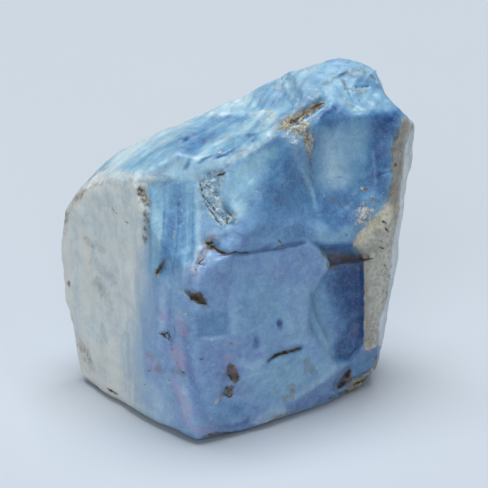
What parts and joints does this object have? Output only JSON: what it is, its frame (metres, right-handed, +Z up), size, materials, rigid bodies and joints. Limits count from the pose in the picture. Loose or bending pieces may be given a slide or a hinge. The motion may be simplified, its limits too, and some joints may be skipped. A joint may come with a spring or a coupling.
{
  "type": "rough blue opal stone",
  "caption": "Rough piece of common blue opal: a broken block with flat and shell-shaped fracture faces, a ledge, cracks and pits, a white rind and a tan rim of host rock.",
  "frame": {"origin": "middle of the bounding box, at the flat foot that the stone rests on", "axes": "+Z up, -Y towards the viewer of the picture, +X to the viewer's right"},
  "size_m": [0.0324, 0.023, 0.0303],
  "materials": {
    "opal": "waxy satin, broken surface: blue to lavender, with white, tan and brown parts"
  },
  "bodies": {
    "root": {"opal": "opal"}
  },
  "joints": []
}
